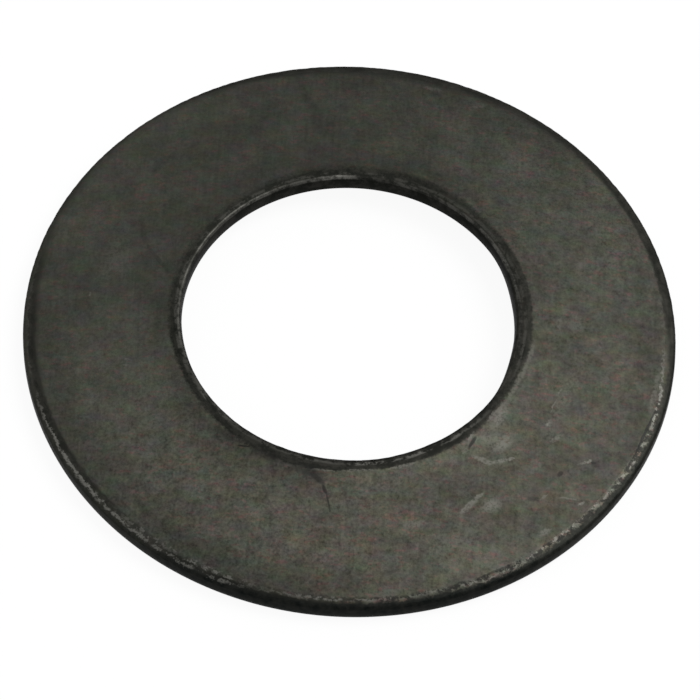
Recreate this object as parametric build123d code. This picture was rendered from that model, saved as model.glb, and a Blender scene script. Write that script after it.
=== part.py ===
"""Disc spring (belleville washer), plain, blanked from strip and pressed to a cone.

Millimetres. The spring stands on its wide lower edge with the crown of the cone
upwards. The origin is the centre of the circle it stands on, +Z is its axis.
"""
from build123d import *
import os

os.makedirs("parts", exist_ok=True)

# The spring
outer_diameter = 35.5      # over the sheared band of the rim
bore_diameter = 18.3       # over the land in the bore, passes an 18 mm rod
thickness = 1.25           # of the strip, measured upright
free_height = 2.2          # over the sharp corners of the section, before rounding

# The rim, as the die leaves it
rim_roll_width = 0.64      # how far in from the rim the upper face starts to roll over
rim_roll_depth = 0.09      # how far the roll has dropped below the face at the rim
rim_corner_radius = 0.25   # upper corner, rounded by tumbling
rim_foot_taper = 0.12      # how far the torn foot of the rim leans in

# The bore, as the punch leaves it
bore_roll_width = 0.70     # from the land in the bore out to the crest
bore_roll_depth = 0.09     # how far the roll has dropped below the face at the bore
bore_corner_radius = 0.15  # upper corner, rounded by tumbling
bore_mouth_flare = 0.08    # how far the wall leans open above its land

# Both walls
sheared_share = 0.6        # share of the thickness that shears clean
lower_edge_radius = 0.30   # both lower edges, rounded by tumbling
roll_blend_radius = 0.5    # where each roll leaves the face

outer_radius = outer_diameter / 2
bore_radius = bore_diameter / 2
crest_radius = bore_radius + bore_roll_width
slope = (free_height - thickness) / (outer_radius - crest_radius)


def upper_face(radius):
    return free_height - (radius - crest_radius) * slope


def lower_face(radius):
    return upper_face(radius) - thickness


def wall_section():
    """Half section of the spring, on the XZ plane, with its rounded corners."""
    foot_radius = outer_radius - rim_foot_taper
    roll_start = outer_radius - rim_roll_width
    mouth_radius = bore_radius + bore_mouth_flare
    torn = thickness * (1 - sheared_share)
    clean = thickness * sheared_share
    widest_round = thickness / 4

    bore_foot = (bore_radius, lower_face(bore_radius))
    rim_foot = (foot_radius, lower_face(foot_radius))
    rim_band = (outer_radius, lower_face(outer_radius) + torn)
    rim_corner = (outer_radius, upper_face(outer_radius) - rim_roll_depth)
    rim_roll = (roll_start, upper_face(roll_start))
    crest = (crest_radius, free_height)
    bore_corner = (mouth_radius, upper_face(mouth_radius) - bore_roll_depth)
    bore_land = (bore_radius, lower_face(bore_radius) + clean)

    outline = Polyline(
        bore_foot, rim_foot, rim_band, rim_corner,
        rim_roll, crest, bore_corner, bore_land, close=True,
    )
    section = make_face(outline)
    rounds = (
        (bore_foot, lower_edge_radius),
        (rim_foot, lower_edge_radius),
        (rim_corner, rim_corner_radius),
        (rim_roll, roll_blend_radius),
        (crest, roll_blend_radius),
        (bore_corner, bore_corner_radius),
    )
    for point, radius in rounds:
        corner = section.vertices().sort_by_distance(Vector(*point))[0]
        limit = radius if radius == roll_blend_radius else min(radius, widest_round)
        section = fillet(corner, limit)
    return Plane.XZ * section


def disc_spring():
    """The whole spring, set down on the lowest circle of its lower edge."""
    spring = revolve(wall_section(), Axis.Z)
    lowest = spring.bounding_box().min.Z
    return Pos(0, 0, -lowest) * spring


export_step(disc_spring(), "parts/disc_spring.step")
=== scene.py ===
"""Disc spring (belleville washer): punched from strip, pressed to a cone, tumbled and blackened."""
import math

import bmesh
import bpy
from mathutils import Matrix, Vector


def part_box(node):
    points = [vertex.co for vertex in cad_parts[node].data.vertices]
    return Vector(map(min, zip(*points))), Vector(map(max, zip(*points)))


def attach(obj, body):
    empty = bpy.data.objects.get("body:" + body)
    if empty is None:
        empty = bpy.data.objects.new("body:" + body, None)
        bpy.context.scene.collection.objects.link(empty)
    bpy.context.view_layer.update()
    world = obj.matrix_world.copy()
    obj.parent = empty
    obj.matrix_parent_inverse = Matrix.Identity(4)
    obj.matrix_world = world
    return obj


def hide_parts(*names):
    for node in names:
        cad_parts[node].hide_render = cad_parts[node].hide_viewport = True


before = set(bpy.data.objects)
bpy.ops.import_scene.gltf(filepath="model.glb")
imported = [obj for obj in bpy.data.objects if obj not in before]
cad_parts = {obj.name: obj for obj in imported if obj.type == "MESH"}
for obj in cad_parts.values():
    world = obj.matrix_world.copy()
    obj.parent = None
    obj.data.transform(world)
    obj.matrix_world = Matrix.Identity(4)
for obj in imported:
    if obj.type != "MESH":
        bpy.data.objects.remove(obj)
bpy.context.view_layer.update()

# ---------------------------------------------------------------------------
# The spring: one ring of spring-steel strip, punched out with its bore and
# pressed to a shallow cone. Punch and die roll both upper edges over, and
# tumbling rounds every corner and bruises the rims.
# ---------------------------------------------------------------------------
MM = 0.001
spring_low, spring_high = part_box("disc_spring")
inside_by = 0.002 * MM
rim_radius = min(spring_high.x, spring_high.y, -spring_low.x, -spring_low.y) - inside_by
bore_radius = 9.15 * MM
strip = 1.25 * MM
crest_height = spring_high.z
crest_radius = 9.85 * MM
cone_slope = 0.12025
roll_start = 17.11 * MM
roll_depth = 0.09 * MM
roll_crease = 0.05 * MM
foot_lean = 0.12 * MM
steps_round = 1080


def upper(radius):
    return crest_height - (radius - crest_radius) * cone_slope


def lower(radius):
    return upper(radius) - strip


def pick(test):
    """Select the points of the mesh under edit that pass the test."""
    mesh = bmesh.from_edit_mesh(bpy.context.object.data)
    bpy.ops.mesh.select_mode(type="VERT")
    for point in mesh.verts:
        point.select_set(bool(test(point.co)))
    mesh.select_flush_mode()
    bmesh.update_edit_mesh(bpy.context.object.data)


def near(place, reach=0.004 * MM):
    """A test for the points within reach of a place on the section."""
    spot = Vector((place[0], 0, place[1]))
    return lambda co: (co - spot).length < reach


def shift(start, end):
    """Move a corner of the section from one place to another."""
    pick(near(start))
    bpy.ops.transform.translate(value=(end[0] - start[0], 0, end[1] - start[1]))


def cut(place, across):
    """Cut the whole section along a line through a place."""
    bpy.ops.mesh.select_all(action="SELECT")
    bpy.ops.mesh.bisect(plane_co=(place[0], 0, place[1]), plane_no=(across[0], 0, across[1]))


def divide(start, end, cuts):
    """Divide the straight of the outline that lies between two places."""
    a, b = Vector((start[0], 0, start[1])), Vector((end[0], 0, end[1]))
    along = (b - a).normalized()
    slack = 0.003 * MM

    def on_the_straight(co):
        run = (co - a).dot(along)
        off = (co - a - along * run).length
        return off < slack and -slack < run < (b - a).length + slack

    pick(on_the_straight)
    bpy.ops.mesh.subdivide(number_cuts=cuts)


# the half section, first as a bare piece of strip laid on the slope of the cone
bpy.ops.object.select_all(action="DESELECT")
bpy.ops.mesh.primitive_plane_add(size=1, rotation=(math.pi / 2, 0, 0))
spring = bpy.context.object
spring.name = "spring_ring"
spring.data.name = "spring_ring"
bpy.ops.object.transform_apply(location=False, rotation=True, scale=False)
bpy.ops.object.mode_set(mode="EDIT")
bpy.ops.mesh.select_all(action="SELECT")
bpy.ops.transform.resize(value=(rim_radius - bore_radius, 1, strip))
bpy.ops.transform.translate(
    value=((rim_radius + bore_radius) / 2, 0, (upper(bore_radius) + lower(bore_radius)) / 2),
)
pick(lambda co: co.x > crest_radius)
bpy.ops.transform.translate(value=(0, 0, upper(rim_radius) - upper(bore_radius)))

# both rolls, the flare above the land in the bore, and the torn foot of the rim
land_top = lower(bore_radius) + 0.75 * MM
band_foot = lower(rim_radius) + 0.50 * MM
cut((crest_radius, 0), (1, 0))
cut((roll_start, 0), (1, 0))
cut((bore_radius, land_top), (cone_slope, 1))
cut((rim_radius, band_foot), (cone_slope, 1))
bpy.ops.mesh.select_all(action="SELECT")
bpy.ops.mesh.dissolve_faces()
bore_corner = (9.23 * MM, crest_height - 0.016 * MM)
rim_corner = (rim_radius, upper(rim_radius) - roll_depth)
rim_foot = (rim_radius - foot_lean, lower(rim_radius - foot_lean))
bore_foot = (bore_radius, lower(bore_radius))
shift((bore_radius, upper(bore_radius)), bore_corner)
shift((rim_radius, upper(rim_radius)), rim_corner)
shift((rim_radius, lower(rim_radius)), rim_foot)

# every corner of it rounded off: (place, how far from the corner it starts, segments)
for place, offset, segments in (
    (bore_foot, 0.266 * MM, 6), (rim_foot, 0.265 * MM, 6),
    (rim_corner, 0.20 * MM, 8), (bore_corner, 0.13 * MM, 6),
    ((roll_start, upper(roll_start)), roll_crease, 2),
    ((crest_radius, upper(crest_radius)), roll_crease, 2),
):
    pick(near(place))
    bpy.ops.mesh.bevel(
        offset_type="OFFSET", offset=offset, segments=segments, profile=0.5, affect="VERTICES",
    )

# more points along the face, then the outline is spun round the axis
face_from = crest_radius + roll_crease
face_to = roll_start - roll_crease
divide((face_from, upper(face_from)), (face_to, upper(face_to)), 20)
bpy.ops.mesh.select_all(action="SELECT")
bpy.ops.mesh.delete(type="ONLY_FACE")
bpy.ops.mesh.select_all(action="SELECT")
bpy.ops.mesh.spin(steps=steps_round, angle=2 * math.pi, center=(0, 0, 0), axis=(0, 0, 1))
bpy.ops.mesh.select_all(action="SELECT")
bpy.ops.mesh.remove_doubles(threshold=0.001 * MM)
bpy.ops.mesh.normals_make_consistent(inside=False)

# the punch leaned a little: on the right the bore's wall stands in towards its foot, and
# so does its lip on the near side: (where, heights from and to, by how much, reach) in mm
hole_side = 9.32 * MM
held = 1.6 * MM
for where, low, high, by, reach in (
    ((9.15, 0), 0, 1.6, (-0.16, 0), 4.5), ((9.15, 0), 1.6, 2.2, (-0.07, 0), 4.5),
    ((5.95, -7.1), 0, 2.2, (-0.055, 0.066), 3.2), ((0.3, -9.2), 0, 2.2, (0, 0.045), 4.5),
):
    centre = Vector(where) * MM
    pick(lambda co: co.xy.length < hole_side and (co.xy - centre).length < held
         and low * MM < co.z < high * MM)
    bpy.ops.transform.translate(
        value=(by[0] * MM, by[1] * MM, 0), use_proportional_edit=True,
        proportional_edit_falloff="SMOOTH", proportional_size=reach * MM,
    )

# both upper corners are bruised, dented inwards only:
# (corner, radii from and to, above what height, size of the dents, depth) in mm
for corner, inner, outer, above, dent_size, depth in (
    ("rim_corner", 17.13, 18.0, 0.90, 0.35, 0.04), ("bore_corner", 0.0, 9.42, 1.98, 0.5, 0.03),
):
    bpy.ops.object.mode_set(mode="EDIT")
    pick(lambda co: inner * MM < math.hypot(co.x, co.y) < outer * MM and co.z > above * MM)
    bpy.ops.object.vertex_group_assign_new()
    spring.vertex_groups.active.name = corner
    bpy.ops.object.mode_set(mode="OBJECT")
    dents = bpy.data.textures.new(corner + "_dents", "CLOUDS")
    dents.noise_scale = dent_size * MM
    dents.noise_depth = 2
    dent = spring.modifiers.new(corner, "DISPLACE")
    dent.texture = dents
    dent.texture_coords = "LOCAL"
    dent.vertex_group = corner
    dent.mid_level = 0.85
    dent.strength = depth * MM
    bpy.ops.object.modifier_apply(modifier=corner)
bpy.ops.object.shade_smooth()

# blackened spring steel: a thin dark oxide, rubbed to a grey sheen on the face, left dark in the rolls and on
# the walls, and worn through to the metal at the corners. Painted sheen lightens the face towards the near
# side, painted shade darkens the rim's wall and the bore's near lip, and a painted highlight runs along the
# ring's edge on the right
steel = bpy.data.materials.new("blackened_spring_steel")
steel.use_nodes = True
nodes = steel.node_tree.nodes
links = steel.node_tree.links
skin = nodes["Principled BSDF"]


def add(kind, feeds=(), **settings):
    """A new shader node, its inputs fed from values or from other nodes' outputs."""
    made = nodes.new(kind)
    for name, value in settings.items():
        setattr(made, name, value)
    for key, feed in dict(feeds).items():
        if isinstance(feed, bpy.types.NodeSocket):
            links.new(feed, made.inputs[key])
        else:
            made.inputs[key].default_value = feed
    return made


def calc(operation, *terms):
    return add("ShaderNodeMath", dict(enumerate(terms)), operation=operation).outputs[0]


def vector(operation, *terms):
    return add("ShaderNodeVectorMath", dict(enumerate(terms)), operation=operation).outputs[0]


def product(first, *others):
    for other in others:
        first = calc("MULTIPLY", first, other)
    return first


def fade(value, start, end, low=0.0, high=1.0):
    """A smooth step of a value from low at start to high at end."""
    return add("ShaderNodeMapRange", {
        "Value": value, "From Min": start, "From Max": end, "To Min": low, "To Max": high,
    }, interpolation_type="SMOOTHSTEP").outputs["Result"]


def noise(scale, detail=2.0, rough=0.5, where=None, give="Fac"):
    return add("ShaderNodeTexNoise", {
        "Vector": where or place_mm, "Scale": scale, "Detail": detail, "Roughness": rough,
    }).outputs[give]


def tint(share, under, over, way="MIX"):
    """One colour laid over another: sockets 0, 6 and 7 are the share and the two colours."""
    mixed = add("ShaderNodeMix", {0: share, 6: under, 7: over}, data_type="RGBA", blend_type=way)
    return mixed.outputs[2]


def round_about(stops, top=1.0):
    """A value that changes round the ring: (degrees from +X, value), none of them over top."""
    ramp = add("ShaderNodeValToRGB", {"Fac": turn})
    steps = ramp.color_ramp.elements
    stops = list(stops) + [(360, stops[0][1])]
    while len(steps) < len(stops):
        steps.new(0.5)
    for step, (degrees, value) in zip(steps, stops):
        step.position = degrees / 360
        step.color = (1, 1, 1, value / top)
    return calc("MULTIPLY", ramp.outputs["Alpha"], top)


def line(centre, half_width, value):
    """A soft line in a value, full at its centre and gone at half its width."""
    return fade(calc("ABSOLUTE", calc("SUBTRACT", value, centre)), half_width, half_width * 0.3)


# millimetres on the spring, and how far round and how far out each point of it lies
place_mm = vector("MULTIPLY", add("ShaderNodeTexCoord").outputs["Object"], (1000, 1000, 1000))
flat_mm = vector("MULTIPLY", place_mm, (1, 1, 0))
radius = add("ShaderNodeVectorMath", {0: flat_mm}, operation="LENGTH").outputs["Value"]
axes = add("ShaderNodeSeparateXYZ", {0: place_mm}).outputs
height = axes["Z"]
turn = calc("FRACT", calc("ADD", calc("DIVIDE", calc("ARCTAN2", axes["Y"], axes["X"]), 2 * math.pi), 1))

# the same distance with a ragged edge to it, for the borders of dark and worn places
chips = noise(3.0, 4.0, 0.75)
ragged = calc("ADD", radius, fade(chips, 0.25, 0.75, -0.11, 0.11))
wavy = calc("ADD", radius, fade(chips, 0.25, 0.75, -0.05, 0.05))

# streaks that run round the ring, as the punch and the tumbling leave them
heading = vector("MULTIPLY", vector("NORMALIZE", flat_mm), (9.0, 9.0, 0))
outwards = add("ShaderNodeCombineXYZ", {2: calc("ADD", product(radius, 3), height)}).outputs[0]
streaks = noise(1.0, 3.0, 0.6, where=vector("ADD", heading, outwards))
scuffs = calc("ADD", product(streaks, 0.5), product(chips, 0.5))

# the oxide on the face: fine grain, mottle, broad clouds and the strip's rolling lines,
# livelier on the near side, with a faint change of hue
OXIDE = (0.0445, 0.0433, 0.0346, 1)
grain = noise(6.0, 3.0, 0.75)
mottle = noise(2.0, 3.0, 0.65)
clouds = noise(0.45, 3.0, 0.55)
lively = round_about((
    (0, 0.9), (60, 0.6), (100, 0.4), (170, 0.45), (200, 0.6), (230, 0.9), (300, 1.0),
))
speckle = calc("ADD", product(calc("SUBTRACT", grain, 0.5), 1.9), product(calc("SUBTRACT", mottle, 0.5), 1.3))
speckle = calc("ADD", 1.0, product(lively, speckle))
along_strip = add("ShaderNodeMapping", {
    "Vector": flat_mm, "Rotation": (0, 0, math.radians(8)), "Scale": (5.5, 0.45, 1),
}).outputs[0]
rolled = fade(noise(1.0, 2.0, 0.6, where=along_strip), 0.3, 0.7, 0.94, 1.06)

# how light the face is rubbed beside the bore, along its middle and beside the rim, with a painted sheen in
# these tones as well: lighter towards the near side and darker on the far side
by_bore = round_about((
    (0, 1.02), (10, 0.97), (30, 0.97), (60, 0.86), (78, 0.75), (92, 0.78), (105, 0.84), (128, 0.95),
    (155, 0.87), (180, 0.92), (202, 1.1), (228, 0.9), (250, 0.96), (262, 1.08), (271, 1.15), (283, 1.42),
    (300, 1.36), (315, 1.33), (335, 1.13), (350, 1.02),
), 2)
middle = round_about((
    (0, 1.09), (25, 1.16), (50, 1.12), (70, 1.05), (90, 0.93), (135, 0.94), (152, 1.02), (180, 1.13),
    (197, 1.26), (212, 1.42), (230, 1.31), (257, 1.36), (280, 1.15), (300, 1.04), (320, 0.99),
    (335, 0.99), (350, 1.05),
), 2)
by_rim = round_about((
    (0, 0.97), (12, 0.96), (30, 1.12), (42, 1.02), (60, 0.91), (75, 0.81), (90, 0.88), (100, 0.85),
    (115, 1.0), (140, 1.08), (160, 1.18), (170, 1.0), (185, 0.9), (200, 1.1), (215, 1.0), (240, 0.93),
    (262, 0.93), (275, 1.08), (292, 1.3), (305, 1.18), (318, 0.98), (330, 0.95), (345, 0.86),
), 2)
rubbed_and_painted_sheen = fade(radius, 14.4, 16.5, fade(radius, 10.2, 12.0, by_bore, middle), by_rim)
tone = product(speckle, fade(clouds, 0.3, 0.7, 0.88, 1.12), rolled, rubbed_and_painted_sheen)
shade = add("ShaderNodeCombineXYZ", {0: tone, 1: tone, 2: tone}).outputs[0]
face = tint(1.0, OXIDE, shade, "MULTIPLY")

# its hue wanders a little, turns cooler on the far side and beside the rim on the left,
# and carries small flecks of a warmer brown
COOLER = (0.945, 1.0, 1.02, 1)
BROWNER = (1.27, 0.95, 1.01, 1)
hues = noise(0.8, 3.0, 0.6, where=vector("MULTIPLY", place_mm, (1.1, 2.0, 2.0)), give="Color")
face = tint(0.27, face, vector("MULTIPLY", hues, (2, 2, 2)), "MULTIPLY")
by_left_rim = product(fade(radius, 15.4, 16.4), round_about((
    (0, 0), (190, 0), (212, 1), (250, 1), (268, 0),
)))
cooler = round_about(((0, 0.4), (45, 1), (180, 1), (225, 0.5), (270, 0.2), (315, 0)))
cooler = calc("MAXIMUM", cooler, by_left_rim)
face = tint(cooler, face, COOLER, "MULTIPLY")
flecks = noise(1.0, 2.0, 0.5, where=vector("MULTIPLY", place_mm, (1.9, 4.6, 4.6)))
flecks = calc("ADD", product(flecks, 0.75), product(clouds, 0.25))
flecks = product(fade(flecks, 0.545, 0.66), fade(by_left_rim, 0, 1, 1, 0.3))
face = tint(flecks, face, BROWNER, "MULTIPLY")

# dark in the roll at the bore (the ring) and in the roll at the rim (the band)
PIT_DARK = (0.0135, 0.014, 0.012, 1)
PIT_PALE = (0.028, 0.0275, 0.0235, 1)
DEEPER = (0.5, 0.52, 0.5, 1)
ring_edge = round_about((
    (0, 9.87), (20, 9.92), (45, 9.87), (65, 10.0), (90, 9.9), (120, 9.84), (140, 9.76), (152, 9.82),
    (185, 9.86), (205, 9.84), (225, 9.93), (250, 10.05), (262, 10.05), (271, 9.88), (290, 9.87),
    (315, 9.93), (328, 9.69), (342, 9.70), (349, 9.85), (355, 9.88),
), 20)
ring_soft = round_about((
    (0, 0.09), (20, 0.08), (50, 0.18), (75, 0.3), (100, 0.26), (170, 0.22), (195, 0.11), (250, 0.12),
    (270, 0.07), (310, 0.08), (335, 0.18), (350, 0.12),
))
inside_ring = calc("SUBTRACT", ring_edge, wavy)
ring = product(fade(inside_ring, product(ring_soft, -1), ring_soft), round_about((
    (0, 0.9), (30, 0.92), (50, 0.72), (70, 1), (95, 1), (130, 0.88), (165, 0.92), (180, 1), (320, 0.97),
    (338, 0.85), (352, 1),
)))
band_edge = round_about((
    (0, 17.28), (9, 17.12), (30, 17.13), (42, 17.18), (60, 17.06), (75, 16.98), (90, 17.02), (108, 17.2),
    (120, 17.38), (132, 17.5), (150, 17.45), (163, 17.4), (173, 17.15), (182, 16.98), (198, 17.08),
    (215, 17.06), (232, 17.1), (245, 17.25), (258, 17.33), (270, 17.38), (290, 17.4), (302, 17.48),
    (312, 17.36), (322, 17.36), (330, 17.44), (340, 17.47), (352, 17.38),
), 20)
band_soft = round_about((
    (0, 0.15), (10, 0.1), (30, 0.13), (45, 0.22), (60, 0.3), (90, 0.35), (110, 0.22), (130, 0.3),
    (160, 0.3), (180, 0.32), (195, 0.18), (208, 0.08), (340, 0.07), (354, 0.12),
))
past_band = calc("SUBTRACT", ragged, band_edge)
band = product(fade(past_band, product(band_soft, -1), band_soft), round_about((
    (0, 0.9), (20, 1), (60, 0.8), (100, 0.9), (130, 0.9), (160, 0.85), (178, 0.95), (205, 0.95),
    (222, 0.75), (232, 0.5), (245, 0.85), (258, 1), (304, 1), (313, 0.65), (324, 0.65), (334, 0.9),
)))
# painted sheen: on the left the band thins beyond 17.42 mm out, leaving a lighter line along the rim's outer
# edge
band = product(band, fade(radius, 17.42, 17.56, 1.0, round_about((
    (0, 1), (160, 1), (172, 0.55), (192, 0.5), (200, 1),
))))
ring_depth = round_about((
    (0, 0.05), (20, 0.2), (34, 0.4), (42, 0.75), (54, 0.8), (63, 0.75), (73, 0.45), (82, 0.15),
    (92, 0.35), (110, 0.6), (130, 0.65), (142, 0.45), (162, 0.35), (175, 0.5), (190, 0.92),
    (202, 0.75), (214, 0.45), (230, 0.35), (242, 0.45), (254, 0.15), (285, 0.05),
))
band_depth = round_about((
    (0, 0.15), (13, 0.35), (30, 0.1), (45, 0.1), (60, 0.3), (72, 0.15), (92, 0.2), (104, 0.4),
    (125, 0.4), (165, 0.35), (182, 0.12), (193, 0.08), (201, 0.2), (210, 0), (222, 0.2), (233, 0.25),
    (243, 0.7), (262, 0.7), (272, 0.4), (300, 0.4), (320, 0.2),
))
pit = tint(fade(scuffs, 0.40, 0.60), PIT_DARK, PIT_PALE)
colour = tint(ring, face, tint(ring_depth, pit, DEEPER, "MULTIPLY"))
colour = tint(band, colour, tint(band_depth, pit, DEEPER, "MULTIPLY"))

# darkest of all on the rim's wall, on its corner along the front, and in the bore. The rim's wall is partly
# its own dark oxide and partly painted shade: everywhere but on the right, where the lamp falls, it takes
# darker colours, and its corner along the front and its foot are painted darker too
# the first two are the wall's colours in painted shade, the next two its own oxide as it shows on the right
WALL_IN_SHADE_DARK = (0.0042, 0.0053, 0.0050, 1)
WALL_IN_SHADE_PALE = (0.0138, 0.0143, 0.0126, 1)
SIDE_DARK = (0.0120, 0.0125, 0.0105, 1)
SIDE_PALE = (0.0290, 0.0290, 0.0245, 1)
BORE_DARK = (0.008, 0.0085, 0.007, 1)
BORE_PALE = (0.021, 0.0205, 0.0180, 1)
HALF_AS_LIGHT = (0.5, 0.5, 0.5, 1)
FOOT_SHADE = (0.75, 0.75, 0.75, 1)
# the near arc, where the rim's rounded corner is painted dark as shade
front = round_about((
    (0, 0.4), (20, 0), (190, 0), (215, 0.15), (235, 0.85), (250, 1), (325, 1), (340, 0.95), (350, 0.8),
))
corner_edge = round_about((
    (0, 17.42), (10, 17.5), (235, 17.50), (250, 17.48), (270, 17.49), (280, 17.45), (292, 17.48),
    (300, 17.54), (306, 17.48), (314, 17.40), (322, 17.36), (330, 17.44), (340, 17.48), (350, 17.42),
), 20)
corner = product(front, fade(calc("SUBTRACT", ragged, corner_edge), -0.07, 0.07))
wall = calc("MAXIMUM", fade(height, 1.10, 1.02), corner)
wall = product(wall, fade(radius, 17.28, 17.38), round_about((
    (0, 0.75), (30, 0.7), (60, 0.5), (90, 0.6), (120, 0.85), (150, 0.4), (180, 0.12), (205, 0.25),
    (218, 0.35), (232, 0.7), (250, 1), (308, 1), (320, 0.92), (345, 0.88),
)))
# the share of the painted-shade colours: nearly all of the wall but on the right, and the rounded corner
# there as well
painted_shade_share = calc("MAXIMUM", product(fade(height, 0.94, 1.04), 0.62), round_about((
    (0, 0.6), (30, 0.9), (215, 0.8), (235, 1), (300, 1), (318, 0.25), (345, 0.15),
)))
blotches = fade(calc("ADD", product(mottle, 0.5), product(chips, 0.5)), 0.34, 0.66)
wall_oxide_and_shade = tint(painted_shade_share, tint(blotches, SIDE_DARK, SIDE_PALE), tint(blotches, WALL_IN_SHADE_DARK, WALL_IN_SHADE_PALE))
# painted shade: darker towards the wall's foot
wall_oxide_and_shade = tint(fade(height, 0.5, 0.3), wall_oxide_and_shade, FOOT_SHADE, "MULTIPLY")
colour = tint(wall, colour, wall_oxide_and_shade)
hole = product(fade(radius, 9.5, 9.4), fade(height, 2.08, 2.01))
# painted shade: mostly on the near side, the bore's rounded lip is darkened to the bore's own colours
lip_edge = round_about((
    (0, 9.36), (235, 9.37), (248, 9.42), (272, 9.42), (279, 9.37), (290, 9.36), (300, 9.28), (320, 9.33),
), 20)
lip = product(fade(calc("SUBTRACT", radius, lip_edge), 0.04, -0.04), round_about((
    (0, 0.4), (95, 0.4), (125, 0.2), (190, 0), (210, 0.3), (232, 0.9), (262, 1), (300, 1), (325, 0.7),
    (345, 0.2),
)))
in_bore = tint(fade(scuffs, 0.42, 0.60), BORE_DARK, BORE_PALE)
in_bore = tint(round_about((
    (0, 0.3), (12, 0.7), (28, 0.8), (45, 0.3), (140, 0.2), (165, 0.5), (185, 0.5), (205, 0.1),
)), in_bore, HALF_AS_LIGHT, "MULTIPLY")
colour = tint(calc("MAXIMUM", hole, lip), colour, in_bore)

# marks on the face, rubbed lighter or bruised dark, and among the lighter ones a painted highlight along the
# ring's edge on the right: (degrees, mm out) from and to, then the half width in mm and the strength
RUBBED_STEEL_AND_HIGHLIGHT = (0.105, 0.103, 0.090, 1)
BRUISED_STEEL = (0.012, 0.012, 0.012, 1)
RUBS_AND_HIGHLIGHT = (
    (315.9, 12.15, 317.6, 12.35, 0.07, 1.0), (309.5, 11.0, 312.2, 11.85, 0.13, 0.8),
    (312.0, 11.75, 316.2, 12.2, 0.10, 0.85), (316.0, 11.35, 321.0, 11.35, 0.33, 0.9),
    (315.5, 10.9, 316.0, 11.3, 0.06, 0.5), (321.0, 10.35, 328.0, 10.0, 0.28, 0.8),
    (320.5, 9.86, 329, 9.80, 0.06, 0.7), (311.0, 10.08, 314.5, 9.88, 0.06, 0.9),
    (298.2, 13.5, 303.5, 13.08, 0.12, 0.8), (303.4, 13.02, 305.4, 13.0, 0.07, 0.8),
    (303.8, 13.8, 306.8, 13.8, 0.34, 0.8), (327.2, 13.1, 330.0, 13.35, 0.13, 0.6),
    (330.0, 12.45, 332.5, 12.45, 0.16, 0.5), (334.0, 12.2, 338.5, 12.12, 0.035, 0.6),
    (340.0, 12.1, 343.0, 12.12, 0.035, 0.5), (326.5, 15.0, 328.4, 15.35, 0.05, 0.7),
    (328.2, 15.4, 329.2, 15.42, 0.06, 1.0), (318.0, 15.5, 320.6, 16.3, 0.05, 0.45),
    (320.0, 16.5, 320.8, 16.6, 0.08, 0.9), (310.0, 16.5, 312.2, 16.6, 0.16, 0.6),
    # the marks at 9.95 and 10.0 mm out, from 330 to 355 degrees, are a painted highlight along the ring's
    # edge
    (315.0, 15.0, 317.0, 15.0, 0.05, 0.5), (330.0, 9.95, 346.0, 9.95, 0.12, 0.4),
    (345.5, 10.0, 355.0, 10.0, 0.1, 0.4),
    (285.0, 13.3, 290.0, 13.35, 0.18, 0.4), (238.0, 13.9, 239.0, 13.9, 0.08, 0.5),
    (176.7, 14.2, 177.4, 14.2, 0.06, 0.5), (66.0, 16.75, 67.5, 16.4, 0.12, 0.22),
    (75.0, 16.7, 78.0, 16.65, 0.14, 0.3), (0.5, 12.2, 4.0, 12.2, 0.35, 0.25),
    (0.0, 11.3, 4.0, 11.4, 0.12, 0.3), (307.5, 10.45, 309.0, 10.40, 0.10, 0.35),
    (196.3, 12.5, 196.8, 12.3, 0.04, 0.4), (197.8, 12.6, 198.2, 12.4, 0.04, 0.4),
    (326.0, 12.9, 352.0, 12.8, 0.40, 0.22), (264.0, 12.0, 276.0, 11.9, 0.45, 0.22),
    (160.0, 13.5, 172.0, 13.6, 0.60, 0.22), (288.0, 14.8, 302.0, 14.7, 0.60, 0.2),
    (208.0, 12.8, 224.0, 12.8, 0.35, 0.15), (308.0, 12.0, 324.0, 12.1, 0.50, 0.15),
    (315.0, 10.6, 319.5, 11.1, 0.35, 0.45), (330.6, 12.42, 331.4, 12.46, 0.07, 1.0),
    (344.0, 17.0, 354.0, 16.95, 0.13, 0.4), (258.0, 10.13, 268.0, 9.98, 0.05, 0.6),
    (268.0, 9.96, 280.0, 9.93, 0.06, 0.6), (284.0, 9.95, 293.0, 9.93, 0.07, 0.6),
)
BRUISES = (
    (328.7, 15.55, 329.0, 15.7, 0.07, 0.55), (326.5, 15.75, 327.3, 15.8, 0.17, 0.35),
    (321.9, 14.65, 322.8, 14.65, 0.11, 0.6), (310.0, 10.4, 314.0, 10.12, 0.08, 0.7),
    (265.0, 10.85, 266.3, 11.3, 0.08, 0.7), (266.3, 11.25, 267.8, 12.3, 0.05, 0.6),
    (260.5, 10.2, 265.2, 10.75, 0.15, 0.6), (256.0, 10.15, 264.0, 10.2, 0.24, 0.6),
    (237.5, 10.3, 240.5, 10.08, 0.05, 0.8), (228.5, 10.2, 236.5, 10.15, 0.2, 0.5),
    (240.0, 10.15, 252.0, 10.15, 0.16, 0.45), (313.0, 14.6, 315.0, 14.8, 0.14, 0.3),
    (154.5, 13.0, 160.5, 12.15, 0.14, 0.22), (160.0, 12.2, 168.0, 10.3, 0.11, 0.28),
    (100.3, 12.6, 102.5, 16.3, 0.28, 0.2), (335.0, 17.19, 345.0, 17.2, 0.06, 0.8),
    (295.0, 17.2, 303.0, 17.18, 0.05, 0.5), (3.0, 14.7, 14.0, 14.3, 0.65, 0.18),
    (236.0, 14.5, 254.0, 14.6, 0.65, 0.16), (224.0, 11.7, 236.0, 11.7, 0.50, 0.2),
    (158.0, 11.9, 182.0, 11.8, 0.55, 0.16), (336.0, 10.72, 344.0, 10.70, 0.22, 0.24),
    (286.0, 12.2, 304.0, 12.1, 0.45, 0.12), (312.0, 14.4, 324.0, 14.3, 0.45, 0.15),
)


def spot(degrees, out):
    angle = math.radians(degrees)
    return Vector((math.cos(angle), math.sin(angle), 0)) * out


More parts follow.
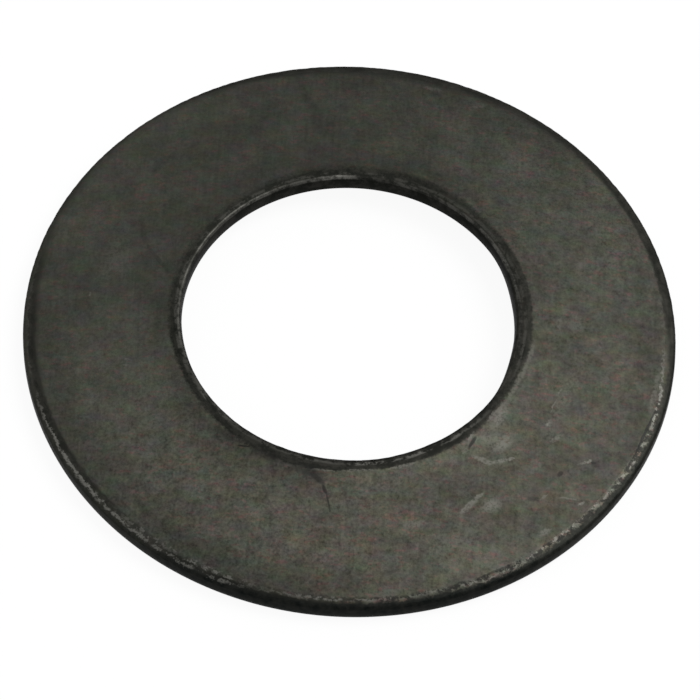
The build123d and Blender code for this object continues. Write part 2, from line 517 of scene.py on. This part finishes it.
def marks(rows, sway):
    """The strongest of a set of slender oval marks, which sway a little from their lines.

    A round gradient falls from 1 in the middle of each oval to 0 at spread times its size.
    The mark fades in about edge, over a stretch that is longer the wider the mark is.
    """
    spread, edge, before_edge, past_edge = 1.4, 0.25, 0.21, 0.68
    fuller = 1.3
    drawn = vector("ADD", flat_mm, vector("MULTIPLY", wander, (sway, sway, 0)))
    total = 0.0
    for turn_a, out_a, turn_b, out_b, half_width, strength in rows:
        a, b = spot(turn_a, out_a), spot(turn_b, out_b)
        run = b - a
        oval = add("ShaderNodeMapping", {
            "Vector": drawn, "Location": (a + b) / 2, "Rotation": (0, 0, math.atan2(run.y, run.x)),
            "Scale": Vector((run.length / 2 + half_width, half_width * fuller, 1)) * spread,
        }, vector_type="TEXTURE").outputs[0]
        inside = add("ShaderNodeTexGradient", {"Vector": oval}, gradient_type="SPHERICAL").outputs["Fac"]
        soft = min(1.0, 0.25 + 2.2 * half_width)
        mark = fade(inside, edge - before_edge * soft, edge + past_edge * soft, 0.0, strength)
        total = calc("MAXIMUM", total, mark)
    return total


wander = vector("SUBTRACT", noise(3.0, 3.0, give="Color"), (0.5, 0.5, 0.5))
broken = fade(noise(6.0, 3.0, 0.7), 0.36, 0.60, 0.25, 1.0)
# rubbed marks, and the painted highlight along the ring's edge
colour = tint(product(marks(RUBS_AND_HIGHLIGHT, 0.3), broken), colour, RUBBED_STEEL_AND_HIGHLIGHT)
colour = tint(marks(BRUISES, 0.1), colour, BRUISED_STEEL)

# worn through to the metal at the bore's corner, along a line beside it and at the rim's
# corner, where dark bruises lie just inside the worn line
BARE_STEEL = (0.128, 0.126, 0.114, 1)
CORNER_BRUISE = (0.013, 0.013, 0.012, 1)
bore_line = calc("SUBTRACT", radius, round_about((
    (0, 9.22), (88, 9.22), (98, 9.26), (110, 9.21), (125, 9.22), (140, 9.25), (155, 9.28), (180, 9.31),
    (192, 9.34), (225, 9.35), (240, 9.33), (250, 9.29),
), 20))
bore_wear = product(
    line(0.0, 0.14, bore_line), fade(height, 1.91, 1.99), fade(scuffs, 0.42, 0.58, 0.2, 1.0),
    round_about((
        (0, 0.12), (12, 0.2), (20, 0.55), (33, 0.6), (45, 0.4), (60, 0.3), (72, 0.4), (80, 0.12),
        (88, 0.25), (97, 1), (103, 0.75), (110, 0.4), (120, 0.45), (129, 0.75), (140, 0.35),
        (150, 0.33), (162, 0.35), (178, 0.3), (192, 0.35), (208, 0.15), (222, 0.35), (232, 0.2), (245, 0.05),
    )),
)
ring_line = calc("SUBTRACT", wavy, round_about((
    (0, 9.5), (250, 9.47), (265, 9.48), (278, 9.50), (290, 9.51), (301, 9.45), (312, 9.50),
    (322, 9.52), (335, 9.55), (350, 9.48),
), 20))
ring_wear = product(line(0.0, 0.12, ring_line), fade(scuffs, 0.45, 0.54), round_about((
    (0, 0.1), (20, 0.1), (190, 0.15), (201, 0.25), (209, 0.05), (220, 0.4), (230, 0.1), (250, 0.15),
    (263, 0.3), (271, 0.1), (279, 0.95), (290, 0.5), (302, 0.9), (312, 0.45), (322, 0.15), (335, 0),
    (350, 0.2),
)))
chipping = noise(2.4, 4.0, 0.7)
eaten = calc("ADD", chipping, round_about((
    (0, 0.03), (195, 0.03), (203, 0.10), (222, 0.09), (232, 0.04), (255, 0.02), (263, 0.04),
    (271, 0.08), (281, 0.02), (292, 0.01), (325, 0), (345, 0.01), (353, 0.03),
)))
rim_line = calc("SUBTRACT", ragged, round_about((
    (0, 17.05), (175, 17.5), (205, 17.48), (222, 17.46), (231, 17.42), (242, 17.52), (251, 17.53),
    (259, 17.26), (270, 17.24), (282, 17.22), (292, 17.26), (300, 17.41), (306, 17.3), (312, 17.17),
    (322, 17.18), (330, 17.31), (340, 17.36), (347, 17.28), (354, 17.12),
), 20))
rim_width = round_about((
    (0, 0.1), (195, 0.08), (206, 0.09), (222, 0.14), (236, 0.12), (250, 0.09), (262, 0.11), (280, 0.08),
    (300, 0.09), (312, 0.10), (322, 0.10), (334, 0.09), (350, 0.12),
))
rim_wear = product(line(0.0, 1.0, calc("DIVIDE", rim_line, rim_width)), round_about((
    (0, 0.15), (12, 0.08), (165, 0.05), (178, 0.15), (190, 0.15), (199, 0.2), (206, 0.9), (220, 1),
    (228, 0.8), (236, 0.55), (250, 0.55), (256, 0.2), (263, 0.4), (271, 0.9), (280, 0.3), (290, 0.4),
    (310, 0.5), (325, 0.45), (340, 0.6), (350, 0.6), (356, 0.3),
)))
inner_wear = product(line(17.21, 0.12, ragged), round_about((
    (0, 0), (226, 0), (231, 0.5), (242, 0.7), (251, 0.7), (255, 0.25), (258, 0), (308, 0),
    (317, 0.25), (328, 0.1), (333, 0), (345, 0.05), (352, 0),
)))
rim_wear = product(
    calc("MAXIMUM", rim_wear, inner_wear), fade(eaten, 0.49, 0.58, 0.06, 1.0),
    fade(scuffs, 0.38, 0.54, 0.35, 1.0),
)
bruised = product(line(17.28, 0.22, ragged), fade(chipping, 0.53, 0.46), round_about((
    (0, 0), (205, 0), (215, 0.2), (262, 0.25), (276, 0.85), (318, 0.9), (345, 0.8), (353, 0),
)))
colour = tint(bruised, colour, CORNER_BRUISE)
worn = calc("MAXIMUM", calc("MAXIMUM", bore_wear, ring_wear), rim_wear)
colour = tint(worn, colour, BARE_STEEL)

# a dull metal sheen, a little smoother where it is worn, with a fine tooth to it
links.new(colour, skin.inputs["Base Color"])
skin.inputs["Metallic"].default_value = 1.0
skin.inputs["Specular Tint"].default_value = (0.6, 0.6, 0.6, 1)
links.new(calc("ADD", fade(grain, 0.3, 0.7, 0.42, 0.56), product(worn, -0.08)), skin.inputs["Roughness"])
bumps = add("ShaderNodeBump", {"Height": calc("ADD", grain, mottle), "Strength": 0.5, "Distance": 0.006 * MM})
links.new(bumps.outputs[0], skin.inputs["Normal"])
spring.data.materials.append(steel)
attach(spring, "root")
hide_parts("disc_spring")

# ---------------------------------------------------------------------------
# The table: one sheet of white paper that the spring lies on, far larger than
# what the camera takes in. It shows as plain white and keeps a faint shadow.
# ---------------------------------------------------------------------------
bpy.ops.object.select_all(action="DESELECT")
bpy.ops.mesh.primitive_plane_add(size=3)
sheet = bpy.context.object
sheet.name = "table_sheet"
paper = bpy.data.materials.new("white_paper")
paper.use_nodes = True
nodes = paper.node_tree.nodes
links = paper.node_tree.links
nodes["Principled BSDF"].inputs["Base Color"].default_value = (0.95, 0.95, 0.95, 1)
nodes["Principled BSDF"].inputs["Roughness"].default_value = 0.9


def looked_at():
    """1 where a surface is seen, straight, mirrored or through another, and 0 where it only lights."""
    rays = add("ShaderNodeLightPath").outputs
    seen = calc("MAXIMUM", rays["Is Camera Ray"], rays["Is Glossy Ray"])
    return calc("MAXIMUM", seen, rays["Is Transmission Ray"])


glow = add("ShaderNodeEmission", {"Color": (1, 1, 1, 1), "Strength": 1.0})
glow_share = calc("MULTIPLY", looked_at(), 0.93)
joined = add("ShaderNodeMixShader", {
    0: glow_share, 1: nodes["Principled BSDF"].outputs[0], 2: glow.outputs[0],
})
links.new(joined.outputs[0], nodes["Material Output"].inputs["Surface"])
sheet.data.materials.append(paper)

# ---------------------------------------------------------------------------
# The light: an even white room, which shows at full strength and lights the
# spring a little less, and one large soft lamp that hangs above the right side.
# ---------------------------------------------------------------------------
room = bpy.data.worlds.new("white_room")
bpy.context.scene.world = room
room.use_nodes = True
nodes = room.node_tree.nodes
links = room.node_tree.links
backdrop = nodes["Background"]
backdrop.inputs["Color"].default_value = (1, 1, 1, 1)
links.new(fade(looked_at(), 0.0, 1.0, 0.60, 1.0), backdrop.inputs["Strength"])

lamp_direction = Vector((0.55, 0.21, 0.82)).normalized()
lamp_distance = 0.6
bpy.ops.object.light_add(type="AREA", location=lamp_direction * lamp_distance)
lamp = bpy.context.object
lamp.name = "soft_lamp"
lamp.rotation_euler = lamp_direction.to_track_quat("Z", "Y").to_euler()
lamp.data.size = 0.35
lamp.data.energy = 2.6

# ---------------------------------------------------------------------------
# The camera: a long lens on a stand in front of the table, looking down at a
# steep slant and rolled a few degrees.
# ---------------------------------------------------------------------------
bpy.ops.object.camera_add()
camera = bpy.context.object
stand = Vector((0, -127.803, 192.125)) * MM
aim = Vector((0.0709, -0.8387, 0)) * MM
roll = math.radians(3.4257)
ahead = (aim - stand).normalized()
right = ahead.cross(Vector((0, 0, 1))).normalized()
up = right.cross(ahead)
across = right * math.cos(roll) + up * math.sin(roll)
upright = up * math.cos(roll) - right * math.sin(roll)
camera.matrix_world = Matrix.Translation(stand) @ Matrix((across, upright, -ahead)).transposed().to_4x4()
camera.data.lens = 217.6
camera.data.sensor_width = 36
camera.data.clip_start = 0.01
bpy.context.scene.camera = camera
bpy.context.scene.view_settings.view_transform = "Standard"
